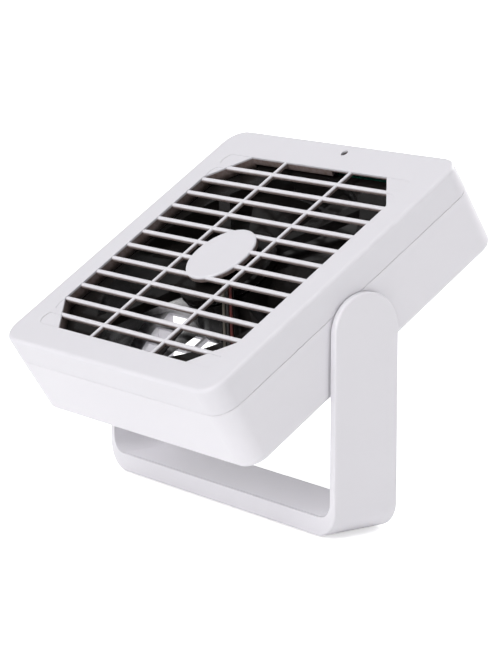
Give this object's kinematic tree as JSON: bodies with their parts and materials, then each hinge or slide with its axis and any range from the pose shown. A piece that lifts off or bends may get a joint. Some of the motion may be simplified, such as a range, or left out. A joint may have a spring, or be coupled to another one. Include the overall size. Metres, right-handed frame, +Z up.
{
  "type": "desk fan",
  "caption": "Flat square desk fan head behind a slatted grille with a centre disc, tilting between the arms of a U-shaped stand; spinning rotor and sliding switch.",
  "frame": {"origin": "centre of the stand's underside, on the desk", "axes": "+X to the right seen from the front, -Y towards the front, +Z up"},
  "size_m": [0.1516, 0.1387, 0.14],
  "materials": {
    "white_moulding": "satin, slightly soft sheen",
    "acetal": "plain",
    "black_moulding": "gloss",
    "soft_rubber": "matte",
    "friction_pad": "matte",
    "plated_steel": "zinc plated",
    "spring_steel": "ground",
    "weight_steel": "mill finish, oiled",
    "lamination": "stacked sheet",
    "bronze": "sintered",
    "copper_wire": "enamelled",
    "ferrite": "dull",
    "green_board": "solder mask",
    "chip_body": "moulded epoxy",
    "can_sleeve": "sleeved can",
    "light_lens": "tinted clear lens",
    "inlet_metal": "bright",
    "insulator": "natural nylon",
    "red_lead": "extruded",
    "black_lead": "extruded",
    "yellow_lead": "extruded"
  },
  "bodies": {
    "stand": {"stand_bracket": "white_moulding", "base_cover": "white_moulding", "base_weight": "weight_steel", "nonslip_pad": "soft_rubber", "base_cover_screws": "plated_steel", "pivot_friction_washer_left": "friction_pad", "pivot_friction_washer_right": "friction_pad", "pivot_disc_spring_left": "spring_steel", "pivot_disc_spring_right": "spring_steel", "pivot_washer_left": "plated_steel", "pivot_washer_right": "plated_steel", "pivot_screw_left": "plated_steel", "pivot_screw_right": "plated_steel"},
    "head": {"front_cover": "white_moulding", "rear_shell": "white_moulding", "housing_screws": "plated_steel", "pivot_bush_left": "acetal", "pivot_bush_right": "acetal", "fan_frame": "black_moulding", "fan_screws": "plated_steel", "sleeve_bearing": "bronze", "bearing_cap": "black_moulding", "motor_board": "green_board", "stator_core": "lamination", "stator_insulator": "insulator", "stator_windings": "copper_wire", "main_board": "green_board", "board_screws": "plated_steel", "power_light": "light_lens", "light_leads": "plated_steel", "switch_body": "chip_body", "power_inlet": "inlet_metal", "lead_header": "insulator", "board_capacitor": "can_sleeve", "board_choke": "ferrite", "board_chips": "chip_body", "lead_red": "red_lead", "lead_black": "black_lead", "lead_yellow": "yellow_lead"},
    "rotor": {"impeller": "black_moulding", "rotor_yoke": "plated_steel", "rotor_magnet": "ferrite", "rotor_shaft": "plated_steel", "shaft_clip": "spring_steel"},
    "switch": {"switch_knob": "white_moulding"}
  },
  "joints": [
    {"name": "head_tilt", "type": "hinge", "parent": "stand", "child": "head", "pos_m": [0, 0, 0.0789], "axis": [1, 0, 0], "range_deg": [-32.7, 57.3]},
    {"name": "fan_spin", "type": "hinge", "parent": "head", "child": "rotor", "pos_m": [0, -0.0129, 0.10104], "axis": [0, -0.5402, 0.8415], "continuous": true},
    {"name": "switch_slide", "type": "slide", "parent": "head", "child": "switch", "axis": [1, 0, 0], "range_m": [0, 0.005]}
  ]
}
